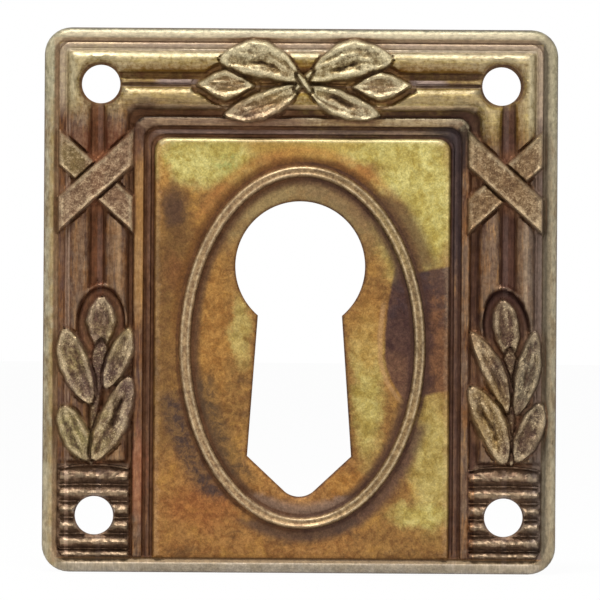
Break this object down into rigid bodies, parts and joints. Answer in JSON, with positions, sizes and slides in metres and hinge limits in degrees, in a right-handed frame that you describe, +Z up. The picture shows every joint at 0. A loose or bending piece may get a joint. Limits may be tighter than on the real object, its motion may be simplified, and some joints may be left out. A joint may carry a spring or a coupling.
{
  "type": "keyhole escutcheon",
  "caption": "Pressed brass plate that frames a keyhole on a drawer or cabinet door, with a laurel and ribbon border around an oval bead, and screw holes in its corners.",
  "frame": {"origin": "centre of the keyhole's round part, on the plane of the surface that the plate is fixed to", "axes": "+X to the right as seen from the front, +Y into the drawer front, +Z up; the face looks along -Y"},
  "size_m": [0.04, 0.0021, 0.0424],
  "materials": {
    "aged_brass": "pressed sheet brass, dark brown in the grooves, olive gold on the panel, pale where worn"
  },
  "bodies": {
    "root": {"escutcheon_plate": "aged_brass"}
  },
  "joints": []
}
